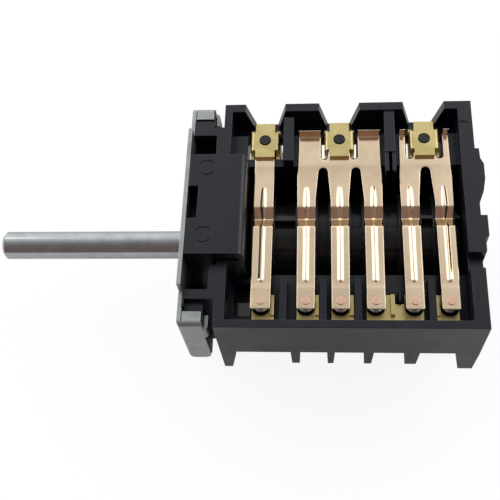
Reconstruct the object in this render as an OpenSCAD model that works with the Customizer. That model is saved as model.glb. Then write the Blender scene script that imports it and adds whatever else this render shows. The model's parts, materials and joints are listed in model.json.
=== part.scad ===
// Cam-operated oven selector switch: a turning cam drum under six leaf-spring contacts.
// X runs along the shaft and away from its tip, Y across it towards the common terminals,
// Z up towards the open contact side. The origin is on the shaft axis at the plate's front face.

/* [Shaft] */
// Diameter of the steel shaft
shaft_d = 6; // [4:0.5:7]
// Length of shaft in front of the mounting plate
shaft_reach = 42.2; // [20:0.1:60]
// Length of the flat for the knob
flat_length = 18; // [6:0.5:18]
// Thickness left across the flat, as a share of the diameter
flat_share = 0.77; // [0.7:0.01:0.9]
// Length of shaft held inside the cam drum
shaft_grip = 16; // [8:0.5:30]
// Chamfer on the tip of the shaft
tip_chamfer = 0.6; // [0.2:0.1:1]
// Reduction in radius of the neck that runs in the plate and holds in the drum
neck_step = 0.3; // [0.2:0.05:0.6]

/* [Mounting plate] */
// Sheet thickness of the plate
plate_t = 0.8; // [0.5:0.1:1.5]
// Width of the plate's upright middle part
plate_w = 35; // [33:0.5:40]
// Height of the plate's upright middle part
plate_h = 37.3; // [36:0.1:42]
// Distance between the two screw holes
screw_spacing = 28; // [26:0.5:29]
// Inner diameter of the tapped holes
screw_hole_d = 3.3; // [2.5:0.1:4]
// Length of the drawn collar behind each tapped hole
collar_length = 1.6; // [0.5:0.1:2.5]
// Height at which the plate's side arms end
arm_top = 15.6; // [14:0.1:16]
// Width of the side arms, from the bottom to the top
arm_h = 17.3; // [12:0.1:19]
// Depth of the flange bent back along the housing
flange_depth = 4.8; // [3:0.1:5]
// Inner radius of the plate's bends
bend_r = 0.4; // [0.3:0.1:1]

/* [Housing] */
// Depth of the front section, between the plate and the contact section
front_depth = 6.2; // [6:0.1:8]
// Length of the contact section along the shaft
contact_length = 50.9; // [50:0.1:60]
// Overall width across the contact section
housing_w = 50.3; // [50:0.1:56]
// Width of the drum housing below the contact section
core_w = 31; // [29:0.5:33]
// Thickness of the outer side walls
wall = 1.6; // [1.2:0.1:2.2]
// Thickness of the rear wall with the drum bearing
rear_wall = 2.8; // [2:0.1:3.5]
// Thickness of the floor under the fixed contacts
floor_t = 2.1; // [1.5:0.1:3]
// Height of the rim above the seat of the leaf springs
rim_rise = 3.15; // [2.6:0.05:4]
// Lower edge of the side skirts, above the shaft axis
skirt_z = 2.5; // [1:0.1:4]
// Length by which the barrier fins hang below the skirts
fin_drop = 6.5; // [3:0.1:8]
// Length by which the corner legs hang below the skirts
leg_drop = 9; // [5:0.1:11]

/* [Detent] */
// Width of the raised detent housing
block_w = 22.4; // [21:0.1:23]
// Depth of the detent housing behind the plate
block_depth = 11.5; // [11:0.1:13]
// Radius over the crests of the detent wheel
wheel_r = 9; // [8:0.1:9.2]
// Width of the detent wheel
wheel_w = 5.8; // [4.5:0.1:6]
// Number of detent positions in one turn, a multiple of four
positions = 12; // [4:4:12]
// Diameter of the detent balls
ball_d = 5; // [4:0.1:5]
// Depth of the notches in the detent wheel
notch_depth = 1.1; // [0.8:0.1:1.6]
// Wire diameter of the detent springs
wire_d = 0.6; // [0.4:0.05:0.8]

/* [Cams] */
// Largest radius of the cams on the drum
cam_r = 10.8; // [9.6:0.1:11]
// Depth of the hollows that let a contact close
cam_hollow = 1.6; // [1:0.1:2]
// Width of one cam track
track_w = 4.4; // [3:0.1:5]
// Radius of the bearing journals at the drum's ends
journal_r = 4.2; // [3.8:0.1:5]
// Gap between the spring followers and the cams with every contact lifted
follower_gap = 0.3; // [0.2:0.05:0.6]
// Radial clearance of the turning bearings
bearing_gap = 0.08; // [0.04:0.01:0.1]

/* [Leaf springs] */
// Thickness of the spring strip
leaf_t = 0.3; // [0.2:0.05:0.5]
// Width of a finger of the combs
finger_w = 3.6; // [3:0.1:4.2]
// Width of the single finger
single_w = 4; // [3.4:0.1:4.2]
// Distance between neighbouring fingers
finger_pitch = 6.7; // [6.5:0.05:7]
// Depth of the vee follower below the strip
vee_depth = 1.75; // [1:0.05:2.2]
// Half width of the vee follower
vee_half = 1.9; // [1.4:0.1:2.4]
// Distance of the finger tips from the shaft axis
tip_reach = 20.2; // [19.6:0.1:20.6]
// Width of the stiffening bead
bead_w = 1.4; // [1.2:0.05:1.8]
// Height of the stiffening bead above the strip
bead_h = 0.4; // [0.2:0.05:0.6]

/* [Contacts and terminals] */
// Thickness of the brass terminals
brass_t = 0.8; // [0.6:0.05:1]
// Height of the moving contact tips
tip_h = 0.9; // [0.5:0.05:1.2]
// Open gap between the moving and the fixed contacts
contact_gap = 0.9; // [0.5:0.05:1.2]
// Height of the fixed contact buttons
button_h = 0.6; // [0.4:0.05:0.9]
// Diameter of the contacts
contact_d = 2.9; // [2.6:0.1:3.6]
// Height of a push-on tab
tab_h = 6.3; // [4.8:0.1:6.5]
// Length of a push-on tab beyond the drum housing
tab_length = 7.2; // [5:0.1:7.4]

/* [Hidden] */
$fn = 48;

black = "#2b2e35";
zinc = "#a4aaa6";
chrome = "#c9ccce";
bronze = "#d8bd97";
brass = "#c3ae72";
silver = "#cfcfc8";
copper = "#d8a58a";

// Clearance between pieces that seat in each other
seat_gap = 0.1;
// Clearance between pieces that turn or slide past each other
run_gap = 0.3;
// Overlap that makes a cut run clean through a face
eps = 1;

// Main planes
shaft_r = shaft_d / 2;
neck_r = shaft_r - neck_step;
// The full shaft ends at a shoulder just in front of the plate
neck_x = -0.2;
plate_hole_r = shaft_r + bearing_gap;
contact_x = plate_t + front_depth;
rear_x = contact_x + contact_length;
block_x = plate_t + block_depth;
chamber_x = rear_x - rear_wall;
base_z = -plate_h / 2;
side_y = housing_w / 2;
core_y = core_w / 2;
pit_r = cam_r + 0.8;
seat_z = cam_r + follower_gap + vee_depth;
rim_z = seat_z + rim_rise;
deck_z = seat_z - tip_h - contact_gap - button_h - brass_t;
ceiling_z = deck_z - floor_t;
near_in = -(side_y - wall);
left_wall_x = contact_x + wall;

// Finger centres along the shaft, counted from the contact section's front
single_x = contact_x + 8.5;
triple_x = contact_x + 17.2;
double_x = contact_x + 37.9;
fingers = [
    single_x,
    triple_x, triple_x + finger_pitch, triple_x + 2 * finger_pitch,
    double_x, double_x + finger_pitch
];

// Common terminals stand on the spring roots
common_x = [single_x, triple_x + finger_pitch, double_x + finger_pitch / 2];
peg_y = 17.45;
peg_r = 1.05;
root_y = 20.2;
comb_root_y = 19.05;
shelf_back_y = 19.3;
clip_y0 = 13.35;
clip_y1 = 21.55;
clip_w = 4;
flange_out = 3.05;
bend_y0 = 15;
bend_y1 = 19.3;
ear_y0 = 13.7;
ear_y1 = 20.6;
ear_drop = 1.5;

// The far wall stands behind a deep pocket and has a notch for each common terminal
far_wall_t = 1.9;
pocket_z = ceiling_z + 2;
notch_z = ceiling_z + 1;
notch_top_half = 4.2;
notch_low_half = 2.25;

// Where the near-side parts stand
contact_y = -(tip_reach - 1.7);
plate_y0 = -(tip_reach + 2.3);
plate_y1 = -(tip_reach - 4);
terminal_half = 1.75;

// Tabs
tab_top = skirt_z - 0.5;
tab_end = core_y + tab_length;

// Detent
wheel_x = plate_t + 2.4;
ball_r = ball_d / 2;
ball_x = wheel_x + wheel_w / 2;
cup_r = ball_r + 0.3;
ball_z = wheel_r - notch_depth + cup_r;
ball_bore_r = ball_r + 0.08;
spring_seat_z = -base_z - 1.6;
wheel_room = wheel_r + 0.4;
drum_x = block_x + run_gap;
drum_end = chamber_x - run_gap;

// Arms of the housing beside the detent block; the plate's flanges hook over their ears
ear_x = plate_t + 4;
flange_in = side_y - 1.1;
ear_top = arm_top - plate_t - 0.05;
arm_z = arm_top - arm_h;
ear_arm_y = flange_in - 3.1;
front_arm_y = flange_in - 4.6;

// Barrier fins on the near side lie between the tabs
near_fins = [
    contact_x + 14.05, contact_x + 21.3, contact_x + 28.65, contact_x + 36.8
];
near_fin_w = [1.9, 1.5, 1.8, 2.6];
far_fins = [(common_x[0] + common_x[1]) / 2, (common_x[1] + common_x[2]) / 2];
far_fin_half = 0.9;
leg_front_w = 3.1;
leg_rear_w = 4.5;

// Fixed terminals: the first and the last finger that each of them serves
terminal_first = [0, 1, 2, 3, 5];
terminal_last = [0, 1, 2, 4, 5];
blade_y0 = plate_y0 + 1.9;
blade_y1 = -core_y - 0.9;
// The bridge between the fourth and fifth fingers is narrow; a fin stands behind it
bridge_y1 = plate_y0 + 4.4;
bridge_fin_x = fingers[3] + 4.5;

// Hollows of each cam, as the angles they start at and span; the top of the drum is at 90
hollows = [
    [[140, 60], [290, 40]],
    [[120, 40], [205, 80]],
    [[165, 35], [250, 60], [340, 40]],
    [[115, 80], [300, 50]],
    [[150, 30], [225, 75]],
    [[130, 55], [260, 100]]
];

// Underside of a spring finger along Y: root, gentle set, vee follower, crease and tip
vee_y = 0;
bead_back = 6.9;
bead_front = -14.4;
finger_line = [
    [root_y, 0], [11.6, 0],
    [vee_y + vee_half, -0.1], [vee_y, -vee_depth], [vee_y - vee_half, -0.1],
    [4.3 - tip_reach, 0], [-tip_reach, 0]
];
rivet_r = 0.6;
peg_hole_r = peg_r + 0.15;

// A box given by two opposite corners
module block(from, to) {
    translate(from) cube(to - from);
}

// A flat outline in X and Z pushed along Y
module along_y(y0, y1) {
    translate([0, y1, 0]) rotate([90, 0, 0]) linear_extrude(y1 - y0) children();
}

// A flat outline in Y and Z pushed along X
module along_x(x0, x1) {
    translate([x0, 0, 0]) rotate([90, 0, 90]) linear_extrude(x1 - x0) children();
}

// A flat outline in X and Y pushed up
module upright(z0, z1) {
    translate([0, 0, z0]) linear_extrude(z1 - z0) children();
}

// A round bar along X
module round_x(x0, x1, r) {
    translate([x0, 0, 0]) rotate([0, 90, 0]) cylinder(h = x1 - x0, r = r);
}

module both_sides() {
    children();
    mirror([0, 1, 0]) children();
}

// A plain rectangle given by two corners
module rect(from, to) {
    translate(from) square(to - from);
}

// Notches that part the far wall into towers, wider at the rim than at their floor
module far_wall_notches() {
    flare = (notch_top_half - notch_low_half) / (rim_z - notch_z) * eps;
    along_y(side_y - far_wall_t, side_y + eps)
        for (x = common_x)
            polygon([
                [x - notch_low_half, notch_z], [x + notch_low_half, notch_z],
                [x + notch_top_half + flare, rim_z + eps],
                [x - notch_top_half - flare, rim_z + eps]
            ]);
}

// A fin or leg with a tapering foot, seen along Y
module foot_outline(x0, x1, foot0, foot1, drop) {
    polygon([
        [x0, ceiling_z + 1], [x1, ceiling_z + 1], [x1, skirt_z - 1], [foot1, skirt_z - drop],
        [foot0, skirt_z - drop], [x0, skirt_z - 1]
    ]);
}

module fins() {
    along_y(-side_y, -core_y + eps)
        for (i = [0 : len(near_fins) - 1])
            let (x = near_fins[i], w = near_fin_w[i])
                foot_outline(x, x + w, x + 0.1, x + w - 0.25, fin_drop);
    along_y(core_y - eps, side_y)
        for (x = far_fins)
            foot_outline(x - far_fin_half, x + far_fin_half, x - 0.7, x + 0.7, fin_drop);
}

module legs() {
    both_sides() along_y(core_y - eps, side_y) {
        foot_outline(contact_x, contact_x + leg_front_w, contact_x, contact_x + 1.7, leg_drop);
        foot_outline(rear_x - leg_rear_w, rear_x, rear_x - 3.1, rear_x - 0.2, leg_drop);
    }
}

// Section of the drum housing, with chamfered lower edges
module core_section() {
    bevel = 2.5;
    polygon([
        [-core_y, ceiling_z + 1], [core_y, ceiling_z + 1],
        [core_y, base_z + bevel], [core_y - bevel, base_z],
        [bevel - core_y, base_z], [-core_y, base_z + bevel]
    ]);
}

// An ear of the housing; its edges are cut back where the plate's bends lie
module ear() {
    out_y = flange_in - seat_gap;
    cut = bend_r;
    intersection() {
        upright(arm_z, ear_top)
            polygon([
                [plate_t, core_y - eps], [ear_x, core_y - eps], [ear_x, out_y],
                [plate_t + cut, out_y], [plate_t, out_y - cut]
            ]);
        along_x(plate_t, ear_x)
            polygon([
                [core_y - eps, arm_z], [out_y, arm_z], [out_y, ear_top - cut],
                [out_y - cut, ear_top], [core_y - eps, ear_top]
            ]);
    }
}

module front_arms() {
    both_sides() {
        ear();
        block([plate_t, core_y - eps, arm_z], [ear_x, ear_arm_y, rim_z]);
        block([plate_t, block_w / 2 + 1, arm_z], [contact_x + eps, front_arm_y, rim_z]);
    }
}

// Plan of the coupling lugs on the rear wall
module rear_lugs() {
    upright(-5, rim_z)
        polygon([
            [rear_x - 1, 13.6], [rear_x + 0.8, 13.5], [rear_x + 0.9, 11.2], [rear_x + 1.5, 9.9],
            [rear_x + 1.5, 6.5], [rear_x + 1.0, 3.7], [rear_x - 0.6, -0.6], [rear_x - 1, -0.6]
        ]);
    upright(-5, rim_z)
        polygon([
            [rear_x - 1, -1.7], [rear_x + 1.25, -1.7], [rear_x + 1.25, -6.1], [rear_x + 0.6, -6.7],
            [rear_x + 0.55, -9.4], [rear_x, -10.6], [rear_x - 1, -10.6]
        ]);
}

module housing_shell() {
    along_x(plate_t, rear_x) core_section();
    block([contact_x, -side_y, skirt_z], [rear_x, side_y, rim_z]);
    front_arms();
    fins();
    legs();
    rear_lugs();
}

// Bays under the deck, open below, where connectors are pushed onto the tabs
module bays() {
    near_edges = concat([contact_x + leg_front_w], near_fins, [rear_x - leg_rear_w]);
    near_widths = concat([0], near_fin_w, [0]);
    for (i = [0 : len(near_edges) - 2])
        block(
            [near_edges[i] + near_widths[i], near_in, base_z],
            [near_edges[i + 1], -core_y, ceiling_z]
        );
    far_edges = concat([contact_x + leg_front_w], far_fins, [rear_x - leg_rear_w]);
    far_widths = [0, far_fin_half, far_fin_half, 0];
    for (i = [0 : len(far_edges) - 2])
        block(
            [far_edges[i] + far_widths[i], core_y, base_z],
            [far_edges[i + 1] - far_widths[i + 1], -near_in, ceiling_z]
        );
}

// Slots through the shelf for the flanges of the common terminals
module common_slots() {
    for (x = common_x, side = [-1, 1])
        translate([x + side * (flange_out - brass_t / 2 + 0.25), 0, 0])
            block([-0.75, ear_y0 - 0.3, ceiling_z - eps], [0.75, ear_y1 + 0.3, seat_z + eps]);
}

// Where the blade of a fixed terminal goes through the floor
function blade_x(i) =
    i == 4 ? fingers[5] - terminal_half - brass_t / 2
    : i == 3 ? fingers[3] + 3.2
    : fingers[terminal_first[i]] + terminal_half + brass_t / 2;

module blade_slots() {
    half = brass_t / 2 + seat_gap;
    for (i = [0 : 4])
        block(
            [blade_x(i) - half, blade_y0 - 0.3, ceiling_z - eps],
            [blade_x(i) + half, blade_y1 + 0.3, deck_z + eps]
        );
}

// Pockets in the front section, behind the screw holes
module front_pockets() {
    screw_room = 4.8;
    both_sides()
        block([plate_t - eps, block_w / 2, -4],
            [plate_t + screw_room, plate_w / 2 - seat_gap, rim_z + eps]);
    block([plate_t + 0.4, -ear_arm_y - eps, ear_top], [ear_x + eps, -front_arm_y, rim_z + eps]);
}

// The lower front corner of the contact chamber steps down in ledges
module corner_well() {
    block([left_wall_x + 0.4, near_in, deck_z - 2], [block_x + eps, -pit_r, rim_z + eps]);
    block([left_wall_x + 1.2, near_in + 4, deck_z - 5], [block_x + eps, -pit_r - 1, rim_z]);
}

// Shallow pockets under the drum housing keep its walls even in thickness
module core_pockets() {
    count = 5;
    rib = 1.8;
    x0 = block_x + 2;
    step = (chamber_x - x0 + rib) / count;
    for (i = [0 : count - 1], side = [-1, 1])
        block(
            [x0 + i * step, side > 0 ? 0.9 : 3 - core_y, base_z - eps],
            [x0 + (i + 1) * step - rib, side > 0 ? core_y - 3 : -0.9, base_z + 4]
        );
}

module housing_cuts() {
    half_block = block_w / 2 + seat_gap;
    block([plate_t - eps, -half_block, base_z - eps], [block_x, half_block, rim_z + eps]);
    round_x(block_x - eps, chamber_x, pit_r);
    block([block_x - eps, -pit_r, 0], [chamber_x, pit_r, rim_z + eps]);
    block([block_x, near_in, deck_z], [chamber_x, -pit_r + eps, rim_z + eps]);
    block([left_wall_x, pit_r - eps, seat_z], [chamber_x, shelf_back_y + eps, rim_z + eps]);
    block([left_wall_x, shelf_back_y, pocket_z], [chamber_x, side_y - far_wall_t, rim_z + eps]);
    far_wall_notches();
    bays();
    common_slots();
    blade_slots();
    front_pockets();
    corner_well();
    core_pockets();
    round_x(chamber_x - eps, rear_x + 3, journal_r + bearing_gap);
    block([chamber_x - 0.2, -12.9, rim_z - 2.2], [rear_x + 3, -9.7, rim_z + eps]);
    translate([rear_x - 1.9, 19, rim_z - 0.15]) cylinder(h = 1, r = 1.2);
}

// Ribs that part the combs; the second one ends in a fork
module comb_ribs() {
    rib_w = 2.1;
    first_x = triple_x - 4.8;
    second_x = double_x - 4.8;
    fork_w = 0.7;
    fork_y0 = pit_r - 2.8;
    fork_y1 = pit_r + 1.6;
    block([first_x, pit_r, pocket_z], [first_x + rib_w, side_y - far_wall_t - 1, rim_z - 0.7]);
    block([second_x, fork_y1, pocket_z], [second_x + rib_w, side_y - far_wall_t + 0.5, rim_z - 0.3]);
    for (x = [second_x, second_x + rib_w - fork_w])
        block([x, fork_y0, seat_z - 3.5], [x + fork_w, fork_y1 + 0.2, rim_z - 0.5]);
    block([second_x, pit_r - 0.1, ceiling_z], [second_x + rib_w, fork_y1 + 0.2, seat_z + 0.5]);
}

// Low walls that part the contacts
module dividers() {
    half = 0.7;
    centres = [
        fingers[0] + 4.3, fingers[1] + finger_pitch / 2,
        fingers[2] + finger_pitch / 2, fingers[4] + finger_pitch / 2
    ];
    for (x = centres)
        block([x - half, near_in - 0.5, deck_z - 0.5], [x + half, -pit_r - 1.7, seat_z - 0.9]);
}

// Pegs that hold the spring roots and the common terminals
module pegs() {
    top = seat_z + leaf_t + brass_t + 0.1;
    for (x = common_x)
        translate([x, peg_y, seat_z - 0.5]) cylinder(h = top - seat_z + 0.5, r = peg_r);
}

// Tapered fin behind the bridge of the fourth fixed terminal
module bridge_fin() {
    translate([bridge_fin_x, 0, 0])
        along_y(bridge_y1 + 0.2, bridge_y1 + 2.2)
            polygon([
                [-0.5, deck_z - 0.5], [0.5, deck_z - 0.5],
                [0.3, deck_z + 2.2], [-0.1, deck_z + 2.2]
            ]);
}

module housing_inserts() {
    comb_ribs();
    dividers();
    pegs();
    bridge_fin();
}

module contact_housing() {
    color(black) {
        difference() {
            housing_shell();
            housing_cuts();
        }
        housing_inserts();
    }
}

// Raised front block that holds the detent wheel, its balls and their springs
module detent_housing() {
    half_w = block_w / 2;
    top = -base_z;
    edge_r = 1.3;
    color(black)
        difference() {
            union() {
                along_y(-half_w, half_w) {
                    rect([plate_t, base_z], [block_x - edge_r, top]);
                    rect([plate_t, base_z], [block_x, top - edge_r]);
                    translate([block_x - edge_r, top - edge_r]) circle(r = edge_r);
                }
            }
            round_x(plate_t - eps, wheel_x + wheel_w + 0.2, wheel_room);
            round_x(block_x - 6, block_x + eps, journal_r + bearing_gap);
            translate([ball_x, 0, -spring_seat_z])
                cylinder(h = 2 * spring_seat_z, r = ball_bore_r);
            block([plate_t - eps, -3.4, top - 5], [plate_t + 2.1, 3.8, top + eps]);
            for (y = [-7.1, 8.0])
                translate([plate_t + 3.6, y, top - 0.12])
                    difference() {
                        cylinder(h = 1, r = 1.75);
                        translate([0, 0, -1]) cylinder(h = 3, r = 1.5);
                    }
        }
}

// A quarter bend of the sheet round the origin, with inner radius r, in the first quadrant
module bend_plan(r) {
    far = 2 * (r + plate_t);
    difference() {
        circle(r = r + plate_t);
        circle(r = r);
        rect([-far, -far], [0, far]);
        rect([-far, -far], [far, 0]);
    }
}

// Plan of one side arm of the plate, from the front face round to the flange
module arm_plan() {
    corner_y = flange_in - bend_r;
    rect([0, plate_w / 2 - 2], [plate_t, corner_y]);
    translate([plate_t + bend_r, corner_y]) mirror([1, 0]) bend_plan(bend_r);
    rect([plate_t + bend_r, flange_in], [flange_depth, flange_in + plate_t]);
}

module mounting_plate() {
    collar_r = screw_hole_d / 2 + 0.75;
    color(zinc)
        difference() {
            union() {
                along_x(0, plate_t)
                    rect([-plate_w / 2, base_z], [plate_w / 2, -base_z]);
                both_sides() {
                    intersection() {
                        upright(arm_z, arm_top) arm_plan();
                        along_x(-eps, flange_depth + eps) arm_side_outline();
                    }
                    hook_tab();
                    side_hook();
                    translate([0, screw_spacing / 2, 0])
                        round_x(0, plate_t + collar_length, collar_r);
                }
            }
            both_sides()
                translate([0, screw_spacing / 2, 0])
                    round_x(-eps, plate_t + collar_length + eps, screw_hole_d / 2);
            round_x(-eps, plate_t + eps, plate_hole_r);
            flange_corner_cuts();
        }
}

// A side arm seen along the shaft; its top corner follows the fold of the hook tab
module arm_side_outline() {
    r = bend_r + plate_t;
    out_y = flange_in + plate_t;
    rect([plate_w / 2 - 3, arm_z], [out_y, arm_top - r]);
    rect([plate_w / 2 - 3, arm_z], [out_y - r, arm_top]);
    translate([out_y - r, arm_top - r]) circle(r = r);
}

// The lower corner of each flange is rounded off
module flange_corner_cuts() {
    r = 1.5;
    both_sides()
        along_y(flange_in - 0.1, side_y + eps)
            difference() {
                rect([flange_depth - r, arm_z - eps], [flange_depth + eps, arm_z + r]);
                translate([flange_depth - r, arm_z + r]) circle(r = r);
            }
}

// Top of the flange folded inwards over the housing's ear
module hook_tab() {
    r = bend_r + plate_t;
    fold_y = flange_in + plate_t - r;
    along_x(plate_t + 0.2, flange_depth - 0.2) {
        rect([flange_in - 2.25, arm_top - plate_t], [fold_y, arm_top]);
        translate([fold_y, arm_top - r]) bend_plan(bend_r);
    }
}

// A narrow finger of the flange turned in behind the ear
module side_hook() {
    inner_r = 0.3;
    r = inner_r + plate_t;
    fold_x = ear_x + seat_gap - inner_r;
    fold_y = flange_in + plate_t - r;
    upright(arm_top - 6, arm_top - 2.4) {
        rect([flange_depth - 1, flange_in], [fold_x, flange_in + plate_t]);
        translate([fold_x, fold_y]) bend_plan(inner_r);
        rect([fold_x + inner_r, flange_in - 2.4], [fold_x + r, fold_y]);
    }
}

// Shaft with a chamfered tip and a flat for the knob on its underside
module shaft() {
    end_x = drum_x + shaft_grip;
    flat_z = shaft_r - shaft_d * flat_share;
    color(chrome)
        difference() {
            union() {
                translate([-shaft_reach, 0, 0]) rotate([0, 90, 0])
                    cylinder(h = tip_chamfer, r1 = shaft_r - tip_chamfer, r2 = shaft_r);
                round_x(tip_chamfer - shaft_reach, neck_x, shaft_r);
                round_x(neck_x - eps, end_x, neck_r);
            }
            block([-shaft_reach - eps, -shaft_r - eps, -shaft_r - eps],
                [flat_length - shaft_reach, shaft_r + eps, flat_z]);
        }
}

// A sector of a ring in the plane across the shaft, from angle a0 to a1
module sector_plan(r, a0, a1) {
    steps = max(2, ceil((a1 - a0) / 30));
    far = 2 * r;
    intersection() {
        circle(r = r);
        polygon(concat([[0, 0]], [
            for (i = [0 : steps])
                let (a = a0 + (a1 - a0) * i / steps) [far * cos(a), far * sin(a)]
        ]));
    }
}

module cam_plan(i) {
    difference() {
        circle(r = cam_r);
        for (h = hollows[i])
            difference() {
                sector_plan(cam_r + eps, h[0], h[0] + h[1]);
                circle(r = cam_r - cam_hollow);
            }
    }
}

module cam_drum() {
    between_r = cam_r - cam_hollow - 0.4;
    hub_x = wheel_x + wheel_w + 0.1;
    color(black)
        difference() {
            union() {
                round_x(drum_x, drum_end, between_r);
                round_x(hub_x, drum_x + eps, journal_r);
                round_x(drum_end - eps, rear_x, journal_r);
                for (i = [0 : len(fingers) - 1])
                    along_x(fingers[i] - track_w / 2, fingers[i] + track_w / 2) cam_plan(i);
                // A moulded web joins the first two cams and catches the light
                along_x(fingers[0], fingers[1]) sector_plan(cam_r, 84, 90);
                along_x(fingers[4], drum_end) sector_plan(cam_r, 84, 88);
                for (i = [0, 2, 3, 4])
                    along_x(fingers[i], fingers[i + 1]) sector_plan(cam_r - 0.9, 98, 122);
            }
            round_x(hub_x - eps, drum_x + shaft_grip + 0.2, neck_r + 0.02);
            // Drive socket for a further switch section
            along_x(rear_x - 6, rear_x + eps) rect([-2.2, -1.1], [2.2, 1.1]);
        }
}

// Wheel with a notch for each position; a ball drops into the top and the bottom one
module detent_wheel() {
    color(black)
        difference() {
            union() {
                round_x(wheel_x, wheel_x + wheel_w, wheel_r);
                round_x(plate_t + 0.2, wheel_x + eps, 5);
            }
            for (i = [0 : positions - 1])
                rotate([i * 360 / positions, 0, 0]) translate([0, 0, ball_z])
                    round_x(wheel_x - eps, wheel_x + wheel_w + eps, cup_r);
            round_x(-eps, wheel_x + wheel_w + eps, neck_r + 0.02);
        }
}

module detent_ball() {
    translate([ball_x, 0, ball_z]) sphere(r = ball_r);
}

module detent_ball_upper() {
    color(chrome) detent_ball();
}

module detent_ball_lower() {
    color(chrome) mirror([0, 0, 1]) detent_ball();
}

// Coil spring as a round wire swept along a helix
function helix_point(r, z0, z1, turns, t) =
    [r * cos(360 * turns * t), r * sin(360 * turns * t), z0 + (z1 - z0) * t];

module coil_spring(r, z0, z1, turns) {
    sides = 6;
    rings = turns * 12;
    wr = wire_d / 2;
    points = [
        for (k = [0 : rings], s = [0 : sides - 1])
            let (
                t = k / rings,
                a = 360 * turns * t,
                b = 360 * s / sides,
                c = helix_point(r, z0, z1, turns, t)
            )
                c + [wr * cos(b) * cos(a), wr * cos(b) * sin(a), wr * sin(b)]
    ];
    walls = [
        for (k = [0 : rings - 1], s = [0 : sides - 1])
            let (
                a = k * sides + s,
                b = k * sides + (s + 1) % sides
            )
                [a, b, b + sides, a + sides]
    ];
    start_cap = [for (s = [sides - 1 : -1 : 0]) s];
    end_cap = [for (s = [0 : sides - 1]) rings * sides + s];
    polyhedron(points, concat(walls, [start_cap, end_cap]), convexity = 8);
}

module detent_spring() {
    wr = wire_d / 2;
    coil_r = ball_r - wr - 0.15;
    // The lowest turn rests on the ball's crown, the highest under the bore's end
    rest_z = ball_z + sqrt(pow(ball_r + wr + 0.05, 2) - pow(coil_r, 2));
    translate([ball_x, 0, 0])
        coil_spring(coil_r, rest_z, spring_seat_z - wr - 0.05, 3);
}

module detent_spring_upper() {
    color(chrome) detent_spring();
}

module detent_spring_lower() {
    color(chrome) mirror([0, 0, 1]) detent_spring();
}

// Brass stamping: a tongue over the spring root, folded down beside it into two flanges
// that go through the shelf; one of them runs down to a push-on tab
module common_terminal(x) {
    z0 = seat_z + leaf_t;
    z1 = z0 + brass_t;
    ear_z = z1 - ear_drop;
    foot_z = seat_z - 2.5;
    color(brass)
        translate([x, 0, 0])
            difference() {
                union() {
                    block([-clip_w / 2, clip_y0, z0], [clip_w / 2, clip_y1, z1]);
                    block([-flange_out, bend_y0, z0], [flange_out, bend_y1, z1]);
                    for (x0 = [-flange_out, flange_out - brass_t]) {
                        block([x0, bend_y0, foot_z], [x0 + brass_t, bend_y1, z1]);
                        block([x0, ear_y0, foot_z], [x0 + brass_t, ear_y1, ear_z]);
                    }
                    along_x(flange_out - brass_t, flange_out)
                        tab_outline(bend_y0 + 1.3, ear_y1, ear_z);
                }
                translate([0, peg_y, z0 - eps]) cylinder(h = brass_t + 2 * eps, r = peg_r + 0.2);
                edge_round(-1);
                edge_round(1);
            }
}

// Rounds the bend along one long edge of a common terminal
module edge_round(side) {
    r = 0.7;
    z1 = seat_z + leaf_t + brass_t;
    along_y(ear_y0 - eps, ear_y1 + eps)
        difference() {
            rect([side > 0 ? flange_out - r : -flange_out - eps, z1 - r],
                [side > 0 ? flange_out + eps : r - flange_out, z1 + eps]);
            translate([side * (flange_out - r), z1 - r]) circle(r = r);
        }
}

// A vertical blade from a slot at y0 to y1 down to a push-on tab that points outwards
module tab_outline(y0, y1, z_top) {
    low = tab_top - tab_h;
    bevel = 1;
    polygon([
        [y0, z_top], [y0, low + 1.5], [y0 + 1.5, low],
        [tab_end - bevel, low], [tab_end, low + bevel],
        [tab_end, tab_top - bevel], [tab_end - bevel, tab_top],
        [y1, tab_top], [y1, z_top]
    ]);
}

module common_terminal_1() {
    common_terminal(common_x[0]);
}

module common_terminal_2() {
    common_terminal(common_x[1]);
}

module common_terminal_3() {
    common_terminal(common_x[2]);
}

module strip_side(t) {
    n = len(finger_line);
    polygon(concat(
        finger_line,
        [for (i = [n - 1 : -1 : 0]) finger_line[i] + [0, t]]
    ));
}

// Height of the strip's underside at a place along the finger
function strip_z(y) = lookup(y, [for (i = [len(finger_line) - 1 : -1 : 0]) finger_line[i]]);

// Bead on one finger, between two heights above the underside; its ends run out in ramps
module bead_body(x, half, z0, z1, inset) {
    ramp = 0.7;
    back = bead_back - inset;
    front = bead_front + inset;
    bends = [vee_y + vee_half, vee_y, vee_y - vee_half];
    low = concat([back], bends, [front]);
    high = concat([front + ramp], [bends[2], bends[1], bends[0]], [back - ramp]);
    translate([0, 0, seat_z])
        along_x(x - half, x + half)
            polygon(concat(
                [for (y = low) [y, strip_z(y) + z0]],
                [for (y = high) [y, strip_z(y) + z1]]
            ));
}

// Plan of one finger of the given width, from the follower to its slightly narrower tip
module finger_plan(x, width, back_y) {
    w = width / 2;
    tip_w = w - 0.1;
    corner = 0.2;
    polygon([
        [x - w, back_y], [x - w, vee_y], [x - tip_w, corner - tip_reach],
        [x - tip_w + corner, -tip_reach], [x + tip_w - corner, -tip_reach],
        [x + tip_w, corner - tip_reach], [x + w, vee_y], [x + w, back_y]
    ]);
}

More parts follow.
